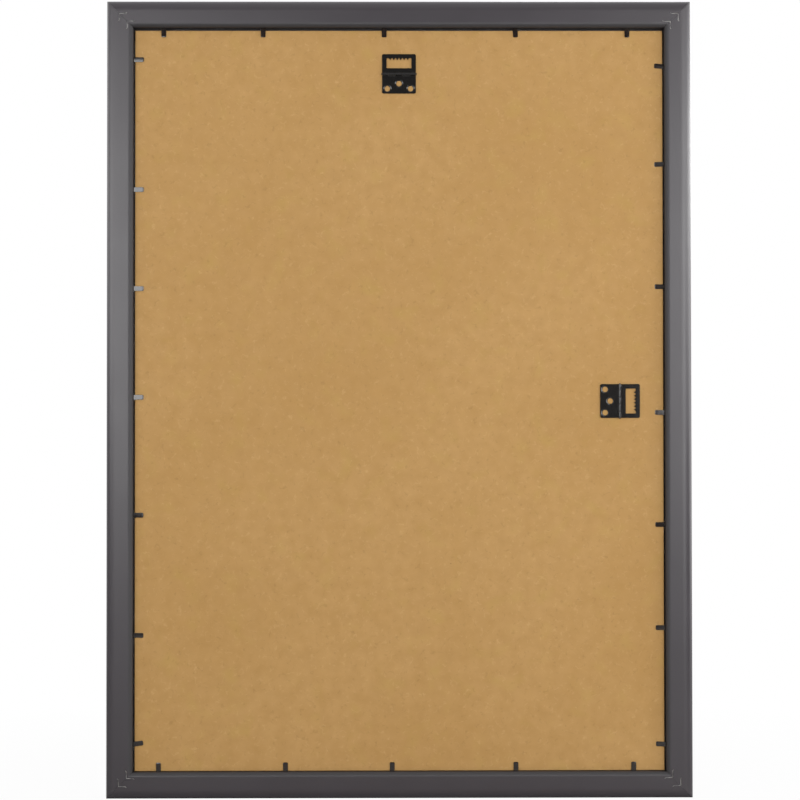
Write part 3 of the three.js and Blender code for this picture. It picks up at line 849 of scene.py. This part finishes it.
nap = add(
    tree,
    "ShaderNodeTexNoise",
    {"Vector": place, "W": 9, "Scale": 1 / (NAP * MM), "Detail": 2},
    noise_dimensions="4D",
)
nap_bump = add(tree, "ShaderNodeBump", {"Height": nap.outputs["Fac"], "Distance": NAP_HEIGHT * MM})
polish = add(
    tree,
    "ShaderNodeTexNoise",
    {"Vector": place, "W": 10, "Scale": 1 / (BLOTCH * MM), "Detail": 2},
    noise_dimensions="4D",
)
face_gloss = add(
    tree,
    "ShaderNodeMapRange",
    {"Value": polish.outputs["Fac"], "To Min": 0.6, "To Max": 0.8},
)
tree.links.new(tan, shader.inputs["Base Color"])
tree.links.new(face_gloss.outputs["Result"], shader.inputs["Roughness"])
tree.links.new(nap_bump.outputs["Normal"], shader.inputs["Normal"])

# Sawn hardboard edge: torn fibres, paler and rougher than the pressed face.
sawn_hardboard, tree, shader, place = new_material("sawn hardboard edge")
fuzz = add(
    tree,
    "ShaderNodeTexNoise",
    {"Vector": place, "W": 11, "Scale": 1 / (TORN_FIBRE * MM), "Detail": 3},
    noise_dimensions="4D",
)
torn = add(
    tree,
    "ShaderNodeMix",
    {"Factor": fuzz.outputs["Fac"], "A": linear("#a58a62"), "B": linear("#d2bd97")},
    data_type="RGBA",
)
tree.links.new(torn.outputs["Result"], shader.inputs["Base Color"])
shader.inputs["Roughness"].default_value = 0.9

torn_holes = bmesh.new()
for hanger in HINGES:
    add_petals(torn_holes, hanger, PETAL_PLAY)
    add_clinch_dents(torn_holes, hanger)
board_shape = bmesh.new()
add_sheet(board_shape, *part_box("backing_board"), BOARD_EASE)
board_mesh = combined(mesh_of(board_shape), "DIFFERENCE", mesh_of(torn_holes))
for face in board_mesh.polygons:
    face.material_index = 0 if abs(face.normal.y) > FACE_ON else 1
board_finishes = [hardboard_face, sawn_hardboard]
board = piece_of("hardboard_back", board_mesh, board_finishes, "hardboard", "backing_board")
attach(board, "frame")

# Tabs
# Twenty-four strips of blackened spring steel, shot into the rebate wall and pressed down on the board by
# thumb. Each can be bent up again where it leaves the wall. Those not pressed quite flat catch the lamps.

TAB_WIDTH = 4.5
TAB_STRIP = 0.5
TAB_SHANK = 7.1  # bend to driven end
TAB_POINT = 1.2  # bevel of the driven corners
TAB_REACHES = {"bottom": 7.9, "right": 8.6, "top": 8.1, "left": 9}  # bend to tip
TAB_TIP_ROUND = 0.9
TAB_TIP_DROP = 0.2  # the sheared tip is drawn down a little
TAB_END = 4  # what lies further than this from the bend belongs to one of a tab's two ends
BEND_CUT = 0.15  # between the cuts across a tab that let it bend smoothly
TAB_CUTS = [-2, *[k * BEND_CUT for k in range(-6, 12)], 2.5, 4, 5.5]  # from the bend

# How many degrees each tab stands off the board, or leans towards it
LIFTS = {
    "bottom": [2, 1, 0, 1, 2],
    "right": [-2, 1, -2, 0, -2, -1, -1],
    "top": [2, 3, 2, 2, 2],
    "left": [1, 1, 1, 1, 6, 0, 2],
}

# Blackened spring steel: oiled black oxide, smooth enough to mirror a lamp, with brown rubbed patches. The
# oil film on the oxide gives the gloss, so it is shaded as a coating and not as bare metal.
blackened_steel, tree, shader, place = new_material("blackened spring steel")
RUBBED_PATCH = 4
rubbing = add(tree, "ShaderNodeTexNoise", {"Vector": place, "Scale": 1 / (RUBBED_PATCH * MM), "Detail": 3})
rubbed = rubbing.outputs["Fac"]
oxide = add(
    tree,
    "ShaderNodeMix",
    {"Factor": rubbed, "A": linear("#0d0b0c"), "B": linear("#2a1f18")},
    data_type="RGBA",
)
oxide_gloss = add(tree, "ShaderNodeMapRange", {"Value": rubbed, "To Min": 0.08, "To Max": 0.2})
tree.links.new(oxide.outputs["Result"], shader.inputs["Base Color"])
tree.links.new(oxide_gloss.outputs["Result"], shader.inputs["Roughness"])
shader.inputs["IOR"].default_value = 1.6

for side, lifts in LIFTS.items():
    inward_way = SIDES[side][1]
    tip_start = TAB_REACHES[side] - TAB_TIP_ROUND
    stops = [-TAB_SHANK, TAB_POINT - TAB_SHANK, *TAB_CUTS]
    widths = [TAB_WIDTH - 2 * TAB_POINT] + [TAB_WIDTH] * (len(stops) - 1)
    for turn in QUARTER_TURN:
        stops.append(TAB_REACHES[side] - TAB_TIP_ROUND * (1 - math.sin(turn)))
        widths.append(TAB_WIDTH - 2 * TAB_TIP_ROUND * (1 - math.cos(turn)))

    for number, lift in enumerate(lifts, start=1):
        bend = joint_places[f"{side}_tab_{number}_bend"]
        solid = frame["nodes"][f"tab_{side}_{number}"].data
        corners = {tuple(round(c, 6) for c in vertex.co) for vertex in solid.vertices}
        ends = []
        for end in (-1, 1):
            held = [Vector(c) for c in corners if end * (Vector(c) - bend).dot(inward_way) > TAB_END * MM]
            ends.append(sum(held, Vector()) / len(held))
        way = (ends[1] - ends[0]).normalized()
        across = way.cross(Vector((0, 1, 0)))
        slope = math.tan(math.radians(lift))
        line = []
        for stop in stops:
            drop = TAB_TIP_DROP * (max(stop - tip_start, 0) / TAB_TIP_ROUND) ** 2
            line.append(bend + (way * stop + Vector((0, drop - slope * max(stop, 0), 0))) * MM)
        tab_shape = bmesh.new()
        bent_strip(tab_shape, line, widths, TAB_STRIP, across)
        tab = piece_of(
            f"steel_tab_{side}_{number}",
            mesh_of(tab_shape),
            [blackened_steel],
            "tab_steel",
            f"tab_{side}_{number}",
        )
        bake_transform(tab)

# Studio
# A white floor under the frame and a white backdrop beyond it. Two soft boxes stand at either side of the
# camera, panels at both sides and above light the rails' roundings, and a fill lights the frame's front.
# The camera looks square at the back.

FLOOR_HALF = 1.5
FLOOR_CORNERS = ((-1, -1), (1, -1), (1, 1), (-1, 1))
floor_mesh = bpy.data.meshes.new("floor")
floor_points = [(x * FLOOR_HALF, y * FLOOR_HALF, whole_low.z) for x, y in FLOOR_CORNERS]
floor_mesh.from_pydata(floor_points, [], [(0, 1, 2, 3)])
floor = bpy.data.objects.new("floor", floor_mesh)
bpy.context.scene.collection.objects.link(floor)

# White floor: the camera sees it white, less a soft share of the frame's shadow.
white_floor, tree, shader, place = new_material("white floor")
SHADOW_SHARE = 0.035
NEAR_FLOOR, FAR_FLOOR = 0.3, 0.8  # metres from the frame's middle
shader.inputs["Base Color"].default_value = linear("#bcbcba")
shader.inputs["Roughness"].default_value = 0.9
glow = add(tree, "ShaderNodeEmission").outputs["Emission"]
spread = add(tree, "ShaderNodeVectorMath", {0: place, 1: (0, 0, whole_low.z)}, operation="DISTANCE")
lit = add(
    tree,
    "ShaderNodeMapRange",
    {
        "Value": spread.outputs["Value"],
        "From Min": NEAR_FLOOR,
        "From Max": FAR_FLOOR,
        "To Min": 1 - SHADOW_SHARE,
    },
).outputs["Result"]
camera_rays = add(tree, "ShaderNodeLightPath").outputs["Is Camera Ray"]
seen = add(tree, "ShaderNodeMath", {0: camera_rays, 1: lit}, operation="MULTIPLY").outputs["Value"]
white = add(tree, "ShaderNodeMixShader", {0: seen, 1: shader.outputs["BSDF"], 2: glow})
tree.links.new(white.outputs["Shader"], tree.nodes["Material Output"].inputs["Surface"])
floor_mesh.materials.append(white_floor)

# The room is dim, with a white backdrop that stands behind the frame for gloss and glass to show
ROOM_LIGHT = 0.05
ROOM_GLOSS = 0.08
BACKDROP_EDGE = (-0.45, 0.05)  # forward part of a ray's direction, where the backdrop begins and is full
world = bpy.data.worlds.new("studio")
bpy.context.scene.world = world
world.use_nodes = True
tree = world.node_tree
rays = add(tree, "ShaderNodeLightPath").outputs
heading = add(tree, "ShaderNodeTexCoord").outputs["Generated"]
forward = add(tree, "ShaderNodeSeparateXYZ", {"Vector": heading}).outputs["Y"]
backdrop_start, backdrop_full = BACKDROP_EDGE
backdrop = add(
    tree,
    "ShaderNodeMapRange",
    {"Value": forward, "From Min": backdrop_start, "From Max": backdrop_full},
)
shown = add(
    tree,
    "ShaderNodeMath",
    {0: rays["Is Glossy Ray"], 1: rays["Is Transmission Ray"]},
    operation="MAXIMUM",
).outputs["Value"]
mirrored = add(tree, "ShaderNodeMath", {0: shown, 1: backdrop.outputs["Result"]}, operation="MULTIPLY")
white_share = add(
    tree,
    "ShaderNodeMath",
    {0: rays["Is Camera Ray"], 1: mirrored.outputs["Value"]},
    operation="MAXIMUM",
)
dim = add(tree, "ShaderNodeMapRange", {"Value": shown, "To Min": ROOM_LIGHT, "To Max": ROOM_GLOSS})
strength = add(
    tree,
    "ShaderNodeMapRange",
    {"Value": white_share.outputs["Value"], "To Min": dim.outputs["Result"], "To Max": 1},
)
tree.links.new(strength.outputs["Result"], tree.nodes["Background"].inputs["Strength"])
tree.nodes["Background"].inputs["Color"].default_value = (1, 1, 1, 1)

# Lamps: name, place, width and height in metres, and watts
for name, spot, width, height, watts in (
    ("left soft box", Vector((-0.52, -1.75, -0.1)), 0.4, 0.8, 5.9),
    ("right soft box", Vector((0.75, -1.75, -0.11)), 0.5, 0.82, 8.2),
    ("left side panel", Vector((-1.1, -1.1, -0.05)), 1, 0.6, 7.8),
    ("right side panel", Vector((1.2, -0.85, -0.04)), 1.1, 0.5, 5.3),
    ("left rim panel", Vector((-1.3, 0, 0.05)), 0.9, 0.5, 2.4),
    ("right rim panel", Vector((1.3, 0, -0.3)), 0.9, 0.6, 4),
    ("right glare panel", Vector((1, -1.15, 0.1)), 0.9, 0.16, 1.9),
    ("right strip light", Vector((1.3, 0, 0.07)), 1.6, 0.15, 7.5),
    ("overhead panel", Vector((0, -0.6, 1)), 1.4, 1.7, 6.1),
    ("front fill", Vector((0.8, 1.5, 0.5)), 1.2, 1.2, 17),
):
    lamp = bpy.data.lights.new(name, "AREA")
    lamp.shape = "RECTANGLE"
    lamp.size, lamp.size_y = width, height
    lamp.energy = watts
    panel = bpy.data.objects.new(name, lamp)
    panel.location = spot
    panel.rotation_euler = (whole_middle - spot).to_track_quat("-Z", "Y").to_euler()
    bpy.context.scene.collection.objects.link(panel)

# The camera stands square behind the frame, a little low and left of its middle, and looks up slightly
CAMERA_PLACE = Vector((-13.5, -2000, -358.95)) * MM
CAMERA_PITCH, CAMERA_ROLL, CAMERA_YAW = 0.996, 0.061, -0.404  # degrees off square
LENS_LENGTH = 95.23
SENSOR_WIDTH = 36
lens = bpy.data.cameras.new("camera")
lens.lens = LENS_LENGTH
lens.sensor_width = SENSOR_WIDTH
camera = bpy.data.objects.new("camera", lens)
camera.location = CAMERA_PLACE
camera.rotation_euler = [math.radians(turn) for turn in (90 + CAMERA_PITCH, CAMERA_ROLL, CAMERA_YAW)]
bpy.context.scene.collection.objects.link(camera)
bpy.context.scene.camera = camera
bpy.context.scene.view_settings.view_transform = "Standard"
